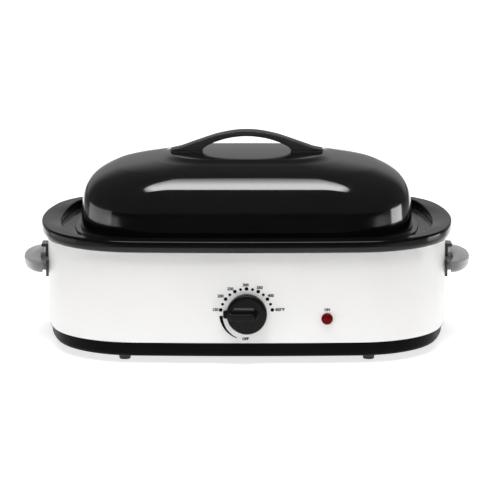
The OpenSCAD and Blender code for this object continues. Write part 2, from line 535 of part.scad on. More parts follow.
module lead_element() {
    color([0.1, 0.1, 0.1]) translate([0, y0, 0]) tube([[-10, in_y + 12.4, 48.6], [-9, -176, 45.5], [0, -172, 43], [14, -167, 45], [28, -164.5, 52], [31, -164, 62], [25, -164.4, 69.4], [17.5, -lid_b - 14.8, 70.4]], 1.2);
}
module lamp_leads() {
    color([0.1, 0.1, 0.1]) translate([0, y0, 0]) for (s = [-1, 1])
        tube([[lamp_x + s * 1.5, lamp_y + 10.9, lamp_z], [lamp_x + s * 1.7 - 4, lamp_y + 16, lamp_z + s * 1.5], [88, -169, 58 + s * 2.2], [60, -167, 54 + s * 2.2], [36, -167, 55 + s * 2.2], [27, -171, 57 + s * 2.2], [20.3, -174, 58 + s * 2.2]], 0.9);
}

lid_shell();
lid_handle();
lid_handle_pads();
lid_handle_washers();
lid_handle_screws();
roasting_pan();
rack();
top_ring();
body_wrap();
heating_well();
base_pan();
insulation_blanket();
heat_shield();
heating_element();
element_retainer();
element_terminals();
thermostat_body();
thermostat_bracket();
thermostat_bushing();
thermostat_nut();
thermostat_screws();
thermostat_shaft();
control_knob();
lamp_lens();
lamp_bulb();
lamp_clip();
side_handle_left();
side_handle_right();
handle_plates();
side_handle_screws();
feet();
foot_screws();
foot_nuts();
well_studs();
stud_nuts();
standoffs();
cord_gland();
terminal_block();
terminal_bracket();
terminal_screws();
lead_line();
lead_neutral();
lead_element();
lamp_leads();
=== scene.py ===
import json
import math

import bmesh
import bpy
import numpy as np
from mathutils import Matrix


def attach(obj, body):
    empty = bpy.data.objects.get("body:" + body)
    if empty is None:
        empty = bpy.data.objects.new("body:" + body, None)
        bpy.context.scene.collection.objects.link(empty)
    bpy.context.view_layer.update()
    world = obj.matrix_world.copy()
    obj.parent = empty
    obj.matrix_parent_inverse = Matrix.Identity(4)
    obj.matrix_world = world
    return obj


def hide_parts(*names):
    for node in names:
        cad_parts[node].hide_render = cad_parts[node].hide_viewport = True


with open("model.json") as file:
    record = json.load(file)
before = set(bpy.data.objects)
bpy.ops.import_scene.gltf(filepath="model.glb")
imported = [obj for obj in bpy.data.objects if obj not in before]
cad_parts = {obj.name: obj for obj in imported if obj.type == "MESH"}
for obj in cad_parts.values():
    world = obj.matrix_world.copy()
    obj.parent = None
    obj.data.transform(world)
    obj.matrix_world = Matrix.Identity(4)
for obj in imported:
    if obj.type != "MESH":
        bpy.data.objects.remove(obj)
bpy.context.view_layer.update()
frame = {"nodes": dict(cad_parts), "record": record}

NODES = frame["nodes"]
MM = 0.001
Y0 = 10.5          # the ovals' centre, mm behind the origin

# ------------------------------------------------------------------ shapes shared with the CAD
# half width, half depth, radius of the long arcs, radius of the end arcs, corner radius (mm)
RIM = (282.0, 200.0, 2885.0, 385.5, 129.7)
REC = (255.3, 173.0, 2858.0, 480.0, 75.0)
LID = (227.6, 148.5, 2308.0, 311.0, 112.6)
NE, NC, NL = 16, 24, 16


def oval(o, i=0.0):
    a, b, rl, re, rc = o
    cl, ce = np.array([0.0, b - rl]), np.array([a - re, 0.0])
    q1, q2 = rl - rc, re - rc
    d = np.linalg.norm(ce - cl)
    k = (q1 * q1 - q2 * q2 + d * d) / (2 * d)
    h = math.sqrt(q1 * q1 - k * k)
    u = (ce - cl) / d
    m = cl + k * u
    side = h * np.array([u[1], -u[0]])
    cc = max((m + side, m - side), key=lambda p: p.sum())
    t1 = math.atan2(*(cc - cl)[::-1])
    t2 = math.atan2(*(cc - ce)[::-1])
    arc = lambda c, r, t: (c[0] + r * math.cos(t), c[1] + r * math.sin(t))
    q = [arc(ce, re - i, t2 * j / NE) for j in range(NE)]
    q += [arc(cc, rc - i, t2 + (t1 - t2) * j / NC) for j in range(NC)]
    q += [arc(cl, rl - i, t1 + (math.pi / 2 - t1) * j / NL) for j in range(NL + 1)]
    n = NE + NC + NL
    pts = [q[j] for j in range(n)]
    pts += [(-q[n - j][0], q[n - j][1]) for j in range(n)]
    pts += [(-q[j][0], -q[j][1]) for j in range(n)]
    pts += [(q[n - j][0], -q[n - j][1]) for j in range(n)]
    return np.array(pts)


def lift(p, z):
    z = np.broadcast_to(np.asarray(z, float), (len(p),))
    return np.column_stack([p[:, 0], p[:, 1], z])


def spline(pts, n=5):
    """A smooth run through pts, n steps a span."""
    p = np.array(pts, float)
    e = np.vstack([2 * p[0] - p[1], p, 2 * p[-1] - p[-2]])
    out = []
    for k in range(1, len(e) - 2):
        a, b, c, d = e[k - 1], e[k], e[k + 1], e[k + 2]
        for j in range(n):
            t = j / n
            out.append(0.5 * (2 * b + (c - a) * t + (2 * a - 5 * b + 4 * c - d) * t * t + (3 * b - a - 3 * c + d) * t ** 3))
    out.append(p[-1])
    return np.array(out)


def wall_y(x, i=8.68):
    r = RIM[2] - i
    return RIM[1] - i - r + math.sqrt(r * r - x * x)


def wall_x(y, i=8.68):
    r = RIM[3] - i
    return RIM[0] - i - r + math.sqrt(r * r - y * y)


# ------------------------------------------------------------------ mesh helpers
def smooth(me, angle=35):
    me.polygons.foreach_set("use_smooth", [True] * len(me.polygons))
    me.set_sharp_from_angle(angle=math.radians(angle))
    me.update()


def make(name, verts, faces, angle=35):
    """verts in mm about the ovals' centre."""
    v = np.array(verts, float)
    v[:, 1] += Y0
    me = bpy.data.meshes.new(name)
    me.from_pydata((v * MM).tolist(), [], faces)
    bm = bmesh.new()
    bm.from_mesh(me)
    bmesh.ops.recalc_face_normals(bm, faces=bm.faces)
    bm.to_mesh(me)
    bm.free()
    smooth(me, angle)
    ob = bpy.data.objects.new(name, me)
    bpy.context.scene.collection.objects.link(ob)
    return ob


def skin_data(rings, closed=False, start=0):
    n, m = len(rings[0]), len(rings)
    faces = []
    for i in range(m if closed else m - 1):
        for j in range(n):
            k, i2 = (j + 1) % n, (i + 1) % m
            faces.append([start + i * n + j, start + i * n + k, start + i2 * n + k, start + i2 * n + j])
    if not closed:
        faces.append([start + j for j in range(n)][::-1])
        faces.append([start + (m - 1) * n + j for j in range(n)])
    return np.concatenate([np.asarray(r, float) for r in rings]), faces


def skin(name, rings, closed=False, angle=35):
    v, f = skin_data(rings, closed)
    return make(name, v, f, angle)


def several(name, parts, angle=35):
    """One piece from closed parts, each (rings, closed)."""
    vs, fs, at = [], [], 0
    for rings, closed in parts:
        v, f = skin_data(rings, closed, at)
        vs.append(v)
        fs += f
        at += len(v)
    return make(name, np.concatenate(vs), fs, angle)


def turned(profile, place, n=96):
    """Rings of a turned form: profile is (radius, height), place maps local (x, y, h) to mm."""
    t = np.linspace(0, 2 * math.pi, n, endpoint=False)
    return [np.array([place(r * math.cos(a), r * math.sin(a), h) for a in t]) for r, h in profile]


def prism(outline, place, heights):
    """Rings of a plan outline at each height; place maps (x, y, h) to mm."""
    return [np.array([place(x, y, h) for x, y in outline]) for h in heights]


def inset(outline, d):
    """The outline moved inwards by d, for an anticlockwise closed outline."""
    p = np.array(outline, float)
    a, b = np.roll(p, 1, 0), np.roll(p, -1, 0)
    e1, e2 = p - a, b - p
    n1 = np.column_stack([-e1[:, 1], e1[:, 0]]) / np.maximum(np.linalg.norm(e1, axis=1)[:, None], 1e-9)
    n2 = np.column_stack([-e2[:, 1], e2[:, 0]]) / np.maximum(np.linalg.norm(e2, axis=1)[:, None], 1e-9)
    s = n1 + n2
    return p + d * s / np.maximum(1 + (n1 * n2).sum(1), 0.35)[:, None]


def ccw(outline):
    p = np.array(outline, float)
    x, y = p[:, 0], p[:, 1]
    return p if (x * np.roll(y, -1) - np.roll(x, -1) * y).sum() > 0 else p[::-1]


def rounded(outline, place, h0, h1, r=1.0, n=4):
    """Rings of an extruded outline whose two rims are rounded by r."""
    o = ccw(outline)
    rings = []
    for k in range(n + 1):
        a = math.pi / 2 * k / n
        rings.append(prism(inset(o, r * (1 - math.sin(a))), place, [h0 + r * (1 - math.cos(a))])[0])
    for k in range(n + 1):
        a = math.pi / 2 * (1 - k / n)
        rings.append(prism(inset(o, r * (1 - math.sin(a))), place, [h1 - r * (1 - math.cos(a))])[0])
    return rings


def cut(ob, parts, angle=35, overlapping=False):
    """Takes closed parts away from a piece, for good."""
    tool = several(ob.name + "_tool", parts)
    mod = ob.modifiers.new("cut", "BOOLEAN")
    mod.operation, mod.object, mod.solver, mod.use_self = "DIFFERENCE", tool, "EXACT", overlapping
    me = bpy.data.meshes.new_from_object(ob.evaluated_get(bpy.context.evaluated_depsgraph_get()))
    ob.modifiers.clear()
    ob.data = me
    bpy.data.objects.remove(tool)
    smooth(me, angle)
    return ob


def rod_y(x, z, r, y1, y2, n=48):
    return turned([(r, y1), (r, y2)], lambda a, b, h: (x + a, h, z + b), n), False


def rod_x(y, z, r, x1, x2, n=48):
    return turned([(r, x1), (r, x2)], lambda a, b, h: (h, y + a, z + b), n), False


# ------------------------------------------------------------------ materials
def material(name, base, rough=0.5, metal=0.0, coat=0.0, coat_rough=0.05, spec=0.5, vary=0.1, vary_scale=40,
             rough_vary=0.04, bump=0.1, bump_scale=600, depth=0.0001, stretch=(1, 1, 1), fleck=None, weave=0,
             sheen=0.0, transmission=0.0, ior=1.5):
    m = bpy.data.materials.new(name)
    m.use_nodes = True
    nt = m.node_tree
    L = nt.links.new
    b = nt.nodes["Principled BSDF"]
    b.inputs["Metallic"].default_value = metal
    b.inputs["Coat Weight"].default_value = coat
    b.inputs["Coat Roughness"].default_value = coat_rough
    b.inputs["Specular IOR Level"].default_value = spec
    b.inputs["Sheen Weight"].default_value = sheen
    b.inputs["Transmission Weight"].default_value = transmission
    b.inputs["IOR"].default_value = ior
    co = nt.nodes.new("ShaderNodeTexCoord")
    mp = nt.nodes.new("ShaderNodeMapping")
    mp.inputs["Scale"].default_value = stretch
    L(co.outputs["Object"], mp.inputs["Vector"])

    def noise(scale, detail=3):
        t = nt.nodes.new("ShaderNodeTexNoise")
        t.inputs["Scale"].default_value = scale
        t.inputs["Detail"].default_value = detail
        L(mp.outputs["Vector"], t.inputs["Vector"])
        return t.outputs["Fac"]

    ramp = nt.nodes.new("ShaderNodeValToRGB")
    ramp.color_ramp.elements[0].position, ramp.color_ramp.elements[1].position = 0.3, 0.7
    ramp.color_ramp.elements[0].color = [min(1, c * (1 - vary)) for c in base[:3]] + [1]
    ramp.color_ramp.elements[1].color = [min(1, c * (1 + vary)) for c in base[:3]] + [1]
    L(noise(vary_scale), ramp.inputs["Fac"])
    colour = ramp.outputs["Color"]
    height = noise(bump_scale, 2)
    if fleck:
        vo = nt.nodes.new("ShaderNodeTexVoronoi")
        vo.inputs["Scale"].default_value = 420
        L(mp.outputs["Vector"], vo.inputs["Vector"])
        fr = nt.nodes.new("ShaderNodeValToRGB")
        fr.color_ramp.elements[0].position, fr.color_ramp.elements[1].position = 0.12, 0.2
        fr.color_ramp.elements[0].color, fr.color_ramp.elements[1].color = (1, 1, 1, 1), (0, 0, 0, 1)
        L(vo.outputs["Distance"], fr.inputs["Fac"])
        mx = nt.nodes.new("ShaderNodeMix")
        mx.data_type = "RGBA"
        mx.inputs[7].default_value = (*fleck, 1)
        L(fr.outputs["Color"], mx.inputs[0])
        L(colour, mx.inputs[6])
        colour = mx.outputs[2]
    if weave:
        waves = []
        for d in ("X", "Z"):
            w = nt.nodes.new("ShaderNodeTexWave")
            w.bands_direction = d
            w.inputs["Scale"].default_value = weave
            w.inputs["Distortion"].default_value = 1.5
            L(mp.outputs["Vector"], w.inputs["Vector"])
            waves.append(w.outputs["Fac"])
        mul = nt.nodes.new("ShaderNodeMath")
        mul.operation = "MULTIPLY"
        L(waves[0], mul.inputs[0])
        L(waves[1], mul.inputs[1])
        height = mul.outputs[0]
    L(colour, b.inputs["Base Color"])
    mr = nt.nodes.new("ShaderNodeMapRange")
    mr.inputs["To Min"].default_value = max(0.02, rough - rough_vary)
    mr.inputs["To Max"].default_value = min(1, rough + rough_vary)
    L(noise(vary_scale * 3), mr.inputs["Value"])
    L(mr.outputs["Result"], b.inputs["Roughness"])
    bp = nt.nodes.new("ShaderNodeBump")
    bp.inputs["Strength"].default_value = bump
    bp.inputs["Distance"].default_value = depth
    L(height, bp.inputs["Height"])
    L(bp.outputs["Normal"], b.inputs["Normal"])
    return m


M = {
    "black_enamel": material("lid_enamel", (0.0035, 0.0035, 0.004), 0.1, spec=0.95, coat=0.0, vary=0.15, vary_scale=25, rough_vary=0.02, bump=0.05, bump_scale=260, depth=0.00006),
    "grey_phenolic": material("handle_moulding", (0.028, 0.028, 0.029), 0.36, spec=0.3, sheen=0.08, vary=0.12, vary_scale=60, bump=0.12, bump_scale=1500, depth=0.00005),
    "black_washer": material("pad_rubber", (0.02, 0.02, 0.02), 0.45, bump=0.3, bump_scale=1800),
    "zinc_steel": material("zinc_plate", (0.62, 0.63, 0.64), 0.3, 1.0, vary=0.08, vary_scale=120, bump=0.1, bump_scale=900, stretch=(1, 1, 4)),
    "pan_enamel": material("pan_enamel", (0.012, 0.012, 0.014), 0.16, vary=0.15, fleck=(0.35, 0.36, 0.38), bump=0.08, bump_scale=300),
    "rack_chrome": material("rack_chrome", (0.78, 0.79, 0.8), 0.1, 1.0, vary=0.04, rough_vary=0.03, bump=0.04, bump_scale=500),
    "rim_black": material("rim_paint", (0.003, 0.003, 0.0032), 0.11, spec=0.3, sheen=0.0, vary=0.12, vary_scale=30, bump=0.12, bump_scale=900, depth=0.00006),
    "wrap_white": material("wrap_paint", (0.845, 0.838, 0.823), 0.32, vary=0.012, vary_scale=12, rough_vary=0.03, bump=0.1, bump_scale=800, depth=0.00005),
    "well_steel": material("aluminised_steel", (0.58, 0.59, 0.6), 0.36, 1.0, vary=0.1, vary_scale=60, bump=0.15, bump_scale=500, stretch=(1, 1, 0.15)),
    "base_black": material("base_paint", (0.004, 0.004, 0.0043), 0.38, spec=0.03, vary=0.12, vary_scale=40, bump=0.15, bump_scale=1000, depth=0.00006),
    "glass_wool": material("glass_wool", (0.85, 0.78, 0.5), 0.95, vary=0.25, vary_scale=90, bump=0.9, bump_scale=260, depth=0.0015, sheen=0.3),
    "element_sleeve": material("element_sleeve", (0.72, 0.69, 0.58), 0.85, weave=260, bump=0.6, depth=0.0004, sheen=0.2),
    "retainer_steel": material("retainer_steel", (0.66, 0.67, 0.68), 0.3, 1.0, bump=0.08, stretch=(0.2, 0.2, 3)),
    "terminal_brass": material("terminal_brass", (0.7, 0.5, 0.22), 0.32, 1.0, vary=0.12, vary_scale=150),
    "ceramic_body": material("ceramic", (0.78, 0.75, 0.67), 0.7, vary=0.06, bump=0.3, bump_scale=1200),
    "knob_black": material("knob_moulding", (0.004, 0.004, 0.0043), 0.2, spec=0.12, vary=0.12, bump=0.08, bump_scale=1300, depth=0.00005),
    "lamp_red": material("lamp_lens", (0.115, 0.0004, 0.0014), 0.3, spec=0.08, vary=0.12, vary_scale=200, rough_vary=0.02, bump=0.03),
    "lamp_glass": material("lamp_glass", (0.95, 0.8, 0.65), 0.05, transmission=0.9, vary=0.03, rough_vary=0.01, bump=0.02),
    "plate_black": material("plate_paint", (0.02, 0.02, 0.02), 0.45, sheen=1.0, bump=0.2, bump_scale=1200),
    "foot_rubber": material("foot_rubber", (0.036, 0.036, 0.038), 0.55, bump=0.3, bump_scale=1600),
    "gland_rubber": material("gland_rubber", (0.012, 0.012, 0.012), 0.5, bump=0.3, bump_scale=1600),
    "lead_red": material("lead_red", (0.45, 0.02, 0.015), 0.6, weave=900, bump=0.5),
    "lead_white": material("lead_white", (0.8, 0.8, 0.76), 0.6, weave=900, bump=0.5),
    "lead_black": material("lead_black", (0.012, 0.012, 0.012), 0.6, weave=900, bump=0.5),
}
# Painted reflection: the side grips get a lighter copy of the handle moulding (0.15 grey, not 0.028), which stands in
# for the bright reflection on their tops.
GRIP_PAINTED_REFLECTION = material("grip_moulding_painted_reflection", (0.15, 0.15, 0.153), 0.25, sheen=1.0, vary=0.1, vary_scale=60, bump=0.12, bump_scale=1500, depth=0.00005)
PRINT = material("dial_print", (0.003, 0.003, 0.003), 0.7, spec=0.05, vary=0.15, bump=0.05, bump_scale=2000)

for s in frame["record"]["subparts"]:
    ob = NODES[s["node"]]
    m = M[s["material_slot"]]
    if not ob.material_slots:
        ob.data.materials.append(m)
    for k in ob.material_slots:
        k.material = m


def finished(ob, slot, body, *nodes, mat=None):
    ob.data.materials.clear()
    ob.data.materials.append(mat or M[slot])
    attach(ob, body)
    if nodes:
        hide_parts(*nodes)
    return ob


# ------------------------------------------------------------------ lid
def dome_ring(s, z):
    k = (0.725 + (LID[1] / LID[0] - 0.725) * (s - 0.455) / 0.545) / (LID[1] / LID[0])
    p = oval(LID)
    return lift(np.column_stack([p[:, 0] * s, p[:, 1] * s * k]), z)


outer = [(0.4505, 257.0), (0.4550, 256.92), (0.4610, 256.65), (0.4710, 256.0), (0.4850, 254.95), (0.4980, 254.05)]
outer += [tuple(p) for p in spline([(0.508, 253.45), (0.536, 252.35), (0.575, 251.2), (0.63, 249.25), (0.687, 247), (0.745, 244.25), (0.795, 241), (0.865, 234),
                                    (0.919, 226), (0.954, 217), (0.977, 207), (0.990, 195), (0.9955, 180), (1, 162), (1, 158.6)], 5)]
inner = [tuple(p) for p in spline([(0.9950, 160), (0.9905, 180), (0.9852, 195), (0.9720, 206.8), (0.9490, 216.5), (0.9143, 225.3),
                                   (0.8600, 233.1), (0.790, 240.0), (0.682, 245.9), (0.571, 250.05), (0.4705, 252.95)], 4)] + [(0.4502, 255.9)]
lid = skin("lid_dome", [dome_ring(s, z) for s, z in outer]
           + [lift(oval(LID, -1.2), 156.9), lift(oval(LID, -7.7), 156.9), lift(oval(LID, -8.1), 156.5), lift(oval(LID, -8.1), 155.9),
              lift(oval(LID, -7.9), 155.8), lift(oval(LID, 0.4), 155.8)]
           + [dome_ring(s, z) for s, z in inner], angle=38)
cut(lid, [(turned([(2.3, 250), (2.3, 262)], lambda a, b, h, x=x: (x + a, b, h), 32), False) for x in (-88, 88)], 38)
finished(lid, "black_enamel", "lid", "lid_shell")

STRAP_OUT = [(104, 259), (104, 260.4), (101, 261.6), (91.4, 263.6), (74.8, 269.4), (58.2, 275.2), (48, 278.6), (41.6, 280.6),
             (33, 282.6), (25.1, 284.2), (16, 285.6), (8, 286.3), (0, 286.5)]
STRAP_IN = [(61, 259), (60.2, 261.4), (57.4, 264), (53.3, 266.7), (45, 270.4), (37.2, 273.2), (28, 275.8), (18, 277.7), (8, 278.8), (0, 279.1)]
out = [tuple(p) for p in spline(STRAP_OUT[1:], 4)]
inn = [tuple(p) for p in spline(STRAP_IN[1:], 4)]
half = [STRAP_OUT[0]] + out
halfi = [STRAP_IN[0]] + inn
outline = half + [(-x, z) for x, z in half[-2::-1]] + [(-x, z) for x, z in halfi] + halfi[-2::-1]
strap = skin("lid_strap", rounded(outline, lambda x, z, h: (x, h, z), -11.75, 11.75, 1.3), angle=50)
cut(strap, [(turned([(2.0, 250), (2.0, 262.5)], lambda a, b, h, x=x: (x + a, b, h), 32), False) for x in (-88, 88)], 50)
finished(strap, "grey_phenolic", "lid", "lid_handle")

# ------------------------------------------------------------------ rim
TOP, DIP = 167.4, 3.0
pr = oval(REC)
t = np.clip((np.abs(pr[:, 1]) - 15) / 90, 0, 1)
w = np.where(np.abs(pr[:, 0]) < 150, 0, 1 - t * t * (3 - 2 * t))
ra, rb = oval(RIM, 2.3), oval(REC, -1.8)
side = spline([(4.6, -16.2), (2.2, -15.2), (0.6, -12.6), (0, -8.9), (0, -3.9), (0.7, -1.2), (2.3, 0)], 5)
side[:, 0] = np.maximum(side[:, 0], 0)
rings = [lift(oval(RIM, d), TOP + h) for d, h in side]
rings += [lift(ra * (1 - t) + rb * t, TOP - DIP * w * t) for t in np.linspace(0.08, 1, 14)]
rings += [lift(oval(REC, -1.1), TOP - DIP * w - 0.12), lift(oval(REC, -0.4), TOP - DIP * w - 0.5), lift(oval(REC, -0.08), TOP - DIP * w - 1.1),
          lift(oval(REC), TOP - DIP * w - 1.8)]
rings += [lift(oval(REC), 154.1), lift(oval(REC, -2), 154.1), lift(oval(REC, -2.2), TOP - DIP * w - 2.6)]
rings += [lift(ra * 0.5 + rb * 0.5, TOP - DIP * w * 0.5 - 2)]
rings += [lift(oval(RIM, d), TOP + h) for d, h in ((4.6, -2.4), (2.6, -5), (2.8, -11), (5.6, -14.6))]
rim = skin("rim", rings, closed=True, angle=32)
finished(rim, "rim_black", "housing", "top_ring")

# ------------------------------------------------------------------ wrap, base, pan, well
wrap = skin("wrap", [lift(oval(RIM, d), z) for d, z in
                     [(8.95, 29.36), (8.62, 29.6), (8.45, 30.1), (8.45, 30.8), (8.6, 31.4), (8.68, 32.2), (8.68, 157), (9.68, 157), (9.68, 29.36)]], closed=True, angle=40)
holes = [rod_y(0, 69.4, 5, -205, -180), rod_y(-14, 69.4, 2.1, -205, -180), rod_y(14, 69.4, 2.1, -205, -180), rod_y(106.2, 62.1, 4.9, -205, -180),
         rod_y(106.2, 62.1, 8.1, 180, 205), rod_y(48, 42, 1.7, 180, 205), rod_y(72, 42, 1.7, 180, 205)]
holes += [rod_x(b, 103.5, 2.2, s * 270 - 10, s * 270 + 10) for s in (-1, 1) for b in (-28, 28)]
cut(wrap, holes, 40)
finished(wrap, "wrap_white", "housing", "body_wrap")

FH, WZ = 9.0, 29.36
base_rings = [(22, FH), (19.2, FH + 0.25), (17.0, FH + 1.0), (15.3, FH + 2.1), (14.0, FH + 3.5), (13.1, FH + 5.2), (12.8, FH + 7.2), (12.8, WZ - 1.2), (8.9, WZ - 1.2),
              (8.9, WZ), (9.8, WZ), (9.8, 38), (11, 38), (11, WZ), (14, WZ), (14, FH + 6.7), (15.4, FH + 3.8), (18.1, FH + 1.8), (22, FH + 1.2)]
base = skin("base", [lift(oval(RIM, d), z) for d, z in base_rings], angle=35)
drill = lambda x, y, r, z1, z2: (turned([(r, z1), (r, z2)], lambda a, b, h: (x + a, y + b, h), 32), False)
tools = [drill(a * 163, b * 151, 2.1, 8, 12) for a in (-1, 1) for b in (-1, 1)]
tools += [drill(a * 120, b * 70, 2.1, 8, 12) for a in (-1, 1) for b in (-1, 1)]
for a in (-1, 1):
    for k in range(-2, 3):
        slot = [(a * 60 + 18 * c + 2 * math.cos(q), k * 16 + 2 * math.sin(q)) for c in (1, -1) for q in np.linspace(-math.pi / 2, math.pi / 2, 9) + (0 if c == 1 else math.pi)]
        tools.append((prism(slot, lambda x, y, h: (x, y, h), [8, 12]), False))
cut(base, tools, 35)
finished(base, "base_black", "housing", "base_pan")

PZ = 38
pan_out = spline([(26, 0), (17, 0.9), (11.4, 4.2), (8.3, 9.5), (7.2, 18)], 4)
pan_in = spline([(8.4, 18), (9.5, 10.1), (12.4, 5.2), (17.8, 2.1), (26, 1.2)], 4)
rings = [lift(oval(LID, d), PZ + h) for d, h in pan_out]
rings += [lift(oval(LID, d), PZ + h) for d, h in ((2.6, 110), (1.2, 114.6))]
rings += [lift(oval(LID, -1.4), 154.3), lift(oval(REC, 0.9), 154.3), lift(oval(REC, 0.8), 154.6), lift(oval(REC, 0.8), 155.2), lift(oval(REC, 1.1), 155.5), lift(oval(LID, -1.2), 155.5)]
rings += [lift(oval(LID, d), PZ + h) for d, h in ((2.5, 114.6), (3.8, 110))]
rings += [lift(oval(LID, d), PZ + h) for d, h in pan_in]
pan = skin("pan", rings, angle=40)
finished(pan, "pan_enamel", "pan", "roasting_pan")

rings = [lift(oval(LID, d), z) for d, z in spline([(13, 30), (4, 30.9), (-2.4, 35), (-6, 41), (-7, 47)], 4)]
rings += [lift(oval(LID, -7), 153), lift(oval(REC, -2.6), 153), lift(oval(REC, -2.6), 154), lift(oval(LID, -6), 154)]
rings += [lift(oval(LID, d), z) for d, z in spline([(-6, 47), (-5, 41.4), (-1.7, 35.8), (4.3, 31.9), (13, 31)], 4)]
well = skin("well", rings, angle=40)
finished(well, "well_steel", "housing", "heating_well")

# ------------------------------------------------------------------ knob
FY, KZ = -191.32, 69.4
at_knob = lambda x, y, h: (x, FY - 1 - h, KZ + y)
skirt = [(22, 0), (26.4, 0), (26.7, 0.15), (26.8, 0.5), (26.8, 5.5)] + [tuple(p) for p in spline([(26.6, 7.6), (26.0, 9.4), (25.1, 10.4), (23.9, 10.95), (21, 11.15), (8, 11.35)], 4)]
skirt = [(22.0, 7.0), (22.0, 0.3), (22.3, 0.0)] + skirt[1:]
parts = [(turned(skirt, at_knob, 128), False)]
bar = lambda r, left: [((6 if c == 1 else left) + r * math.cos(q), r * math.sin(q)) for c in (1, -1)
                       for q in np.linspace(-math.pi / 2, math.pi / 2, 25) + (0 if c == 1 else math.pi)]
scoop = spline([(11.2, -12.6, 10.3), (9.2, -14.6, 11.9), (7.4, -16.4, 13.8), (6.1, -17.7, 16.6), (5.2, -18.5, 20.4), (4.7, -18.9, 24.6),
                (4.5, -19, 27.2), (4.1, -19, 28.1), (3.4, -19, 28.6), (2.4, -19, 28.7)], 3)
rr = [prism(bar(r, left), at_knob, [h])[0] for r, left, h in scoop]
parts.append((rr, False))
point = [(-25, -5.8), (-30.6, -4.6), (-31.2, -3.4), (-31.2, 3.4), (-30.6, 4.6), (-25, 5.8)]
parts.append((rounded(point, at_knob, 0, 7, 0.5, 3), False))
parts.append((turned([(3.02, 9.5), (3.02, 4), (6.2, 4), (6.2, 9.5)], at_knob, 48), True))
knob = several("knob", parts, 35)
finished(knob, "knob_black", "knob", "control_knob")

# ------------------------------------------------------------------ lamp
LX, LZ = 106.2, 62.1
LY = -wall_y(LX)
dome = [(r, 1.5 + 3.4 * math.sqrt(max(0, 1 - (r / 7.75) ** 2)) + 0.05 * math.cos(r * 3.3)) for r in np.linspace(7.4, 0.25, 34)]
lens = skin("lamp", turned([(3.5, 1.5), (3.5, -12), (4.6, -12), (4.6, 0), (7.45, 0), (7.6, 0.15), (7.6, 1.6), (7.52, 2.0)] + dome,
                           lambda a, b, h: (LX + a, LY - 0.35 - h, LZ + b), 72), angle=40)
finished(lens, "lamp_red", "housing", "lamp_lens")

# ------------------------------------------------------------------ side handles
GS, GD, GI = 72.0, 23.0, 284.0


def grip(i, n=64):
    ts = np.linspace(-math.pi / 2, math.pi / 2, n + 1)
    p = []
    for t in ts:
        y = (GS - i) * math.copysign(abs(math.sin(t)) ** 0.72, t)
        p.append((GI - y * y / 753 + (GD - i) * max(math.cos(t), 0) ** 0.9, y))
    for k in range(1, 24):
        y = (GS - i) * (1 - 2 * k / 24)
        p.append((GI - y * y / 753, y))
    return p


def strip(y1, y2, d1, d2, n=28):
    ys = np.linspace(y1, y2, n + 1)
    return [(wall_x(y) + d1, y) for y in ys] + [(wall_x(y) + d2, y) for y in ys[::-1]]


prof = spline([(9, 99.6), (5, 100.6), (2, 103.2), (0.5, 106.6), (0, 110), (0, 113.6), (0.35, 114.5), (1.2, 115)], 4)
prof[:, 0] = np.maximum(prof[:, 0], 0)
prof[:, 1] = np.clip(prof[:, 1], 99.6, 115)
for s, side_name in ((1, "right"), (-1, "left")):
    mir = lambda x, y, h, s=s: (s * x, y, h)
    h = several(f"grip_{side_name}", [([np.array([mir(x, y, z) for x, y in grip(d)]) for d, z in prof], False),
                                     (rounded(strip(-42, 42, 4.1, 14), mir, 99, 108, 0.5, 3), False)], 42)
    arch = [rod_x(b * 14, 92, 9, s * 274.5 - 8.5, s * 274.5 + 8.5, 64) for b in (-1, 1)]
    arch += [rod_x(b * 28, 103.5, 2, s * 278 - 13, s * 278 + 13, 32) for b in (-1, 1)]
    cut(h, arch, 42, True)
    # the grips wear the lightened moulding with the painted reflection
    finished(h, "grey_phenolic", "housing", f"side_handle_{side_name}", mat=GRIP_PAINTED_REFLECTION)
    pl = several(f"plate_{side_name}", [(rounded(strip(-42, 42, 0.1, 4), mir, 95, 112, 0.4, 2), False),
                                       (rounded(strip(-13, 13, 0.1, 4), mir, 84, 128, 0.4, 2), False),
                                       (rounded(strip(-13, 13, 0.1, 9.7), mir, 125.6, 130.2, 0.6, 3), False)], 42)
    cut(pl, [rod_x(b * 28, 103.5, 2.2, s * 278 - 8, s * 278 + 8, 32) for b in (-1, 1)], 42, True)
    finished(pl, "plate_black", "housing", *(["handle_plates"] if s == 1 else []))

# ------------------------------------------------------------------ dial, printed on the wrap
DX, DZ = -0.3, 67.8
on_wall = lambda x, z, h: (x, -wall_y(x) - 0.01 - h, z)
marks = []
disc = lambda x, z, r: (prism([(x + r * math.cos(a), z + r * math.sin(a)) for a in np.linspace(0, 2 * math.pi, 32, endpoint=False)], on_wall, [0, 0.05]), False)
for k in range(-6, 7):
    a = math.radians(90 - 13.2 * k)
    marks.append(disc(DX + 34.7 * math.cos(a), DZ + 34.9 * math.sin(a), 2.45 if k % 2 == 0 else 1.9))
A = np.radians(np.linspace(182.5, 248.6, 40))
W = np.linspace(2.3, 0.5, 40)
band = [(DX + (33.7 + q) * math.cos(a), DZ + (33.7 + q) * math.sin(a)) for a, q in zip(A, W)]
band += [(DX + (33.7 - q) * math.cos(a), DZ + (33.7 - q) * math.sin(a)) for a, q in zip(A[::-1], W[::-1])]
marks.append((prism(band, on_wall, [0, 0.05]), False))
dial = several("dial_marks", marks, 30)
finished(dial, "plate_black", "housing", mat=PRINT)


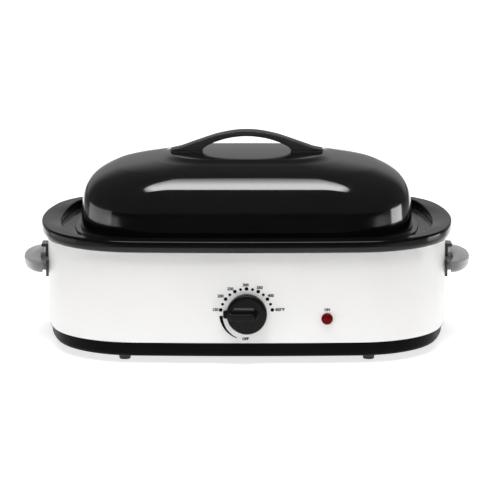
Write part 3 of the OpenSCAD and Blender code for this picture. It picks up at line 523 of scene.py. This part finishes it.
def label(name, text, height, x, z):
    cu = bpy.data.curves.new(name, "FONT")
    cu.body, cu.size, cu.align_x, cu.align_y = text, height / 0.7, "CENTER", "CENTER"
    cu.extrude, cu.resolution_u, cu.offset = 0.025, 4, 0.27
    tmp = bpy.data.objects.new(name + "_t", cu)
    bpy.context.scene.collection.objects.link(tmp)
    me = bpy.data.meshes.new_from_object(tmp.evaluated_get(bpy.context.evaluated_depsgraph_get()))
    for v in me.vertices:
        px, pz, h = v.co.x + x, v.co.y + z, v.co.z + 0.025
        v.co = (px * MM, (-wall_y(px) - 0.01 - h + Y0) * MM, pz * MM)
    bpy.data.objects.remove(tmp)
    me.name = name
    ob = bpy.data.objects.new(name, me)
    bpy.context.scene.collection.objects.link(ob)
    return finished(ob, "plate_black", "housing", mat=PRINT)


PX, PY = 1.3186, 1.3411
for text, u, v in (("150", -31.5, 5.0), ("200", -26.2, 18.7), ("250", -16.4, 25.9), ("300", -1.1, 29.8), ("350", 12.9, 27.1), ("400", 24, 19.1), ("450°F", 33.0, 5.0)):
    label("dial_" + text[:3], text, 3.7, u * PX, DZ + v * PY)
label("dial_off", "OFF", 3.5, -1.7, 35.1)
label("lamp_on", "ON", 3.3, LX, 74.1)

# ------------------------------------------------------------------ stage, light, camera
# Painted light: the floor glows, 0.75 near the object rising to 1.15 farther out, so that no shadow shows on it. The
# glow fades out to the sides, and in front the glow stops and the floor turns near black.
me = bpy.data.meshes.new("floor")
me.from_pydata([(-14, -14, 0), (14, -14, 0), (14, 14, 0), (-14, 14, 0)], [], [(0, 1, 2, 3)])
floor = bpy.data.objects.new("floor", me)
bpy.context.scene.collection.objects.link(floor)
fm = bpy.data.materials.new("floor_painted_glow")
fm.use_nodes = True
fb = fm.node_tree.nodes["Principled BSDF"]
fb.inputs["Roughness"].default_value = 0.9
fb.inputs["Emission Color"].default_value = (1, 1, 1, 1)
fco = fm.node_tree.nodes.new("ShaderNodeTexCoord")
fad = fm.node_tree.nodes.new("ShaderNodeVectorMath")
fad.operation = "ADD"
fad.inputs[1].default_value = (0, 0.25, 0)
fle = fm.node_tree.nodes.new("ShaderNodeVectorMath")
fle.operation = "LENGTH"
fmr = fm.node_tree.nodes.new("ShaderNodeMapRange")
fmr.inputs["From Min"].default_value, fmr.inputs["From Max"].default_value = 0.45, 1.5
fmr.inputs["To Min"].default_value, fmr.inputs["To Max"].default_value = 0.75, 1.15
fsp = fm.node_tree.nodes.new("ShaderNodeSeparateXYZ")
fm.node_tree.links.new(fco.outputs["Object"], fsp.inputs["Vector"])
near = fm.node_tree.nodes.new("ShaderNodeMapRange")
near.inputs["From Min"].default_value, near.inputs["From Max"].default_value = -0.92, -0.80
fm.node_tree.links.new(fsp.outputs["Y"], near.inputs["Value"])
across = fm.node_tree.nodes.new("ShaderNodeMath")
across.operation = "ABSOLUTE"
fm.node_tree.links.new(fsp.outputs["X"], across.inputs[0])
beside = fm.node_tree.nodes.new("ShaderNodeMapRange")
beside.inputs["From Min"].default_value, beside.inputs["From Max"].default_value = 0.5, 0.72
beside.inputs["To Min"].default_value, beside.inputs["To Max"].default_value = 1.0, 0.03
wedge = fm.node_tree.nodes.new("ShaderNodeMath")
wedge.operation = "MULTIPLY_ADD"
wedge.inputs[1].default_value = -0.085
fm.node_tree.links.new(fsp.outputs["Y"], wedge.inputs[0])
fm.node_tree.links.new(across.outputs["Value"], wedge.inputs[2])
fm.node_tree.links.new(wedge.outputs["Value"], beside.inputs["Value"])
both = fm.node_tree.nodes.new("ShaderNodeMath")
both.operation = "MULTIPLY"
glow = fm.node_tree.nodes.new("ShaderNodeMath")
glow.operation = "MULTIPLY"
albedo = fm.node_tree.nodes.new("ShaderNodeMapRange")
albedo.inputs["From Min"].default_value, albedo.inputs["From Max"].default_value = -0.92, -0.80
albedo.inputs["To Min"].default_value, albedo.inputs["To Max"].default_value = 0.03, 0.7
fm.node_tree.links.new(fsp.outputs["Y"], albedo.inputs["Value"])
fm.node_tree.links.new(albedo.outputs["Result"], fb.inputs["Base Color"])
fm.node_tree.links.new(fco.outputs["Object"], fad.inputs[0])
fm.node_tree.links.new(fad.outputs["Vector"], fle.inputs[0])
fm.node_tree.links.new(fle.outputs["Value"], fmr.inputs["Value"])
fm.node_tree.links.new(fmr.outputs["Result"], glow.inputs[0])
fm.node_tree.links.new(near.outputs["Result"], both.inputs[0])
fm.node_tree.links.new(beside.outputs["Result"], both.inputs[1])
fm.node_tree.links.new(both.outputs["Value"], glow.inputs[1])
fm.node_tree.links.new(glow.outputs["Value"], fb.inputs["Emission Strength"])
me.materials.append(fm)

world = bpy.data.worlds.new("studio")
bpy.context.scene.world = world
world.use_nodes = True
nt = world.node_tree
co = nt.nodes.new("ShaderNodeTexCoord")
sp = nt.nodes.new("ShaderNodeSeparateXYZ")
nt.links.new(co.outputs["Generated"], sp.inputs["Vector"])
behind = nt.nodes.new("ShaderNodeMapRange")
behind.inputs["From Min"].default_value, behind.inputs["From Max"].default_value = 0.78, 0.97
behind.inputs["To Min"].default_value, behind.inputs["To Max"].default_value = 0.0, 0.24
nt.links.new(sp.outputs["Y"], behind.inputs["Value"])
low = nt.nodes.new("ShaderNodeMapRange")
low.inputs["From Min"].default_value, low.inputs["From Max"].default_value = 0.25, 0.55
low.inputs["To Min"].default_value, low.inputs["To Max"].default_value = 1.0, 0.12
nt.links.new(sp.outputs["Z"], low.inputs["Value"])
both = nt.nodes.new("ShaderNodeMath")
both.operation = "MULTIPLY_ADD"
both.inputs[2].default_value = 0.08
nt.links.new(behind.outputs["Result"], both.inputs[0])
nt.links.new(low.outputs["Result"], both.inputs[1])
nt.links.new(both.outputs["Value"], nt.nodes["Background"].inputs["Strength"])
nt.nodes["Background"].inputs["Color"].default_value = (1, 1, 1, 1)


def softbox(name, where, target, sx, sy, radiance):
    li = bpy.data.lights.new(name, "AREA")
    li.shape, li.size, li.size_y = "RECTANGLE", sx, sy
    li.energy = radiance * math.pi * sx * sy
    ob = bpy.data.objects.new(name, li)
    bpy.context.scene.collection.objects.link(ob)
    from mathutils import Vector
    ob.location = where
    ob.rotation_euler = (Vector(target) - Vector(where)).to_track_quat("-Z", "Y").to_euler()
    return ob


softbox("right_box", (1.05, 0.24, 0.1), (0, 0.24, 0.1), 0.46, 0.19, 3.6)
softbox("left_box", (-1.05, 0.2, 0.1), (0, 0.2, 0.1), 0.95, 0.19, 0.85)
# low fills for the wrap, left out of reflections
for name, where, size, radiance in (("left_fill", (-2.1, -0.8, 0.35), 1.2, 4.9), ("right_fill", (2.1, -0.8, 0.35), 1.2, 3.7), ("front_fill", (0, -2.4, 0.3), 1.6, 0.1)):
    fill = softbox(name, where, (0, 0, 0.1), size, 0.5, radiance)
    fill.visible_glossy = False

# overhead panel: straight front edge, rounded towards the back
PF, PB, PW, PH = -1.0, 0.12, 0.95, 1.6
edge = [(PW * math.cos(a), PF + (PB - PF) * math.sin(a), PH) for a in np.linspace(0, math.pi, 41)]
me = bpy.data.meshes.new("top_panel")
me.from_pydata(edge, [], [list(range(len(edge)))])
panel = bpy.data.objects.new("top_panel", me)
bpy.context.scene.collection.objects.link(panel)
pm = bpy.data.materials.new("panel_light")
pm.use_nodes = True
pb = pm.node_tree.nodes["Principled BSDF"]
pb.inputs["Base Color"].default_value = (0, 0, 0, 1)
pb.inputs["Emission Color"].default_value = (1, 1, 1, 1)
pco = pm.node_tree.nodes.new("ShaderNodeTexCoord")
psp = pm.node_tree.nodes.new("ShaderNodeSeparateXYZ")
pmr = pm.node_tree.nodes.new("ShaderNodeMapRange")
pmr.inputs["From Min"].default_value, pmr.inputs["From Max"].default_value = -0.45, PB
pmr.inputs["To Min"].default_value, pmr.inputs["To Max"].default_value = 7.6, 1.0
pax = pm.node_tree.nodes.new("ShaderNodeMath")
pax.operation = "ABSOLUTE"
pend = pm.node_tree.nodes.new("ShaderNodeMapRange")
pend.inputs["From Min"].default_value, pend.inputs["From Max"].default_value = 0.62, 0.95
pend.inputs["To Min"].default_value, pend.inputs["To Max"].default_value = 1.0, 0.25
pmul = pm.node_tree.nodes.new("ShaderNodeMath")
pmul.operation = "MULTIPLY"
pm.node_tree.links.new(pco.outputs["Object"], psp.inputs["Vector"])
pm.node_tree.links.new(psp.outputs["Y"], pmr.inputs["Value"])
pm.node_tree.links.new(psp.outputs["X"], pax.inputs[0])
pm.node_tree.links.new(pax.outputs["Value"], pend.inputs["Value"])
pm.node_tree.links.new(pmr.outputs["Result"], pmul.inputs[0])
pm.node_tree.links.new(pend.outputs["Result"], pmul.inputs[1])
pm.node_tree.links.new(pmul.outputs["Value"], pb.inputs["Emission Strength"])
me.materials.append(pm)

bpy.context.scene.view_settings.view_transform = "Standard"
E, D, ZT = math.radians(10.52), 4.0, 0.13208
cam = bpy.data.cameras.new("camera")
cam.lens, cam.sensor_width = 2894.81 / 480 * 36, 36
cam.shift_x, cam.shift_y = -6.75 / 480, 0.5 / 480
co = bpy.data.objects.new("camera", cam)
co.location = (0, Y0 * MM - D * math.cos(E), ZT + D * math.sin(E))
co.rotation_euler = (math.pi / 2 - E, 0, 0)
bpy.context.scene.collection.objects.link(co)
bpy.context.scene.camera = co
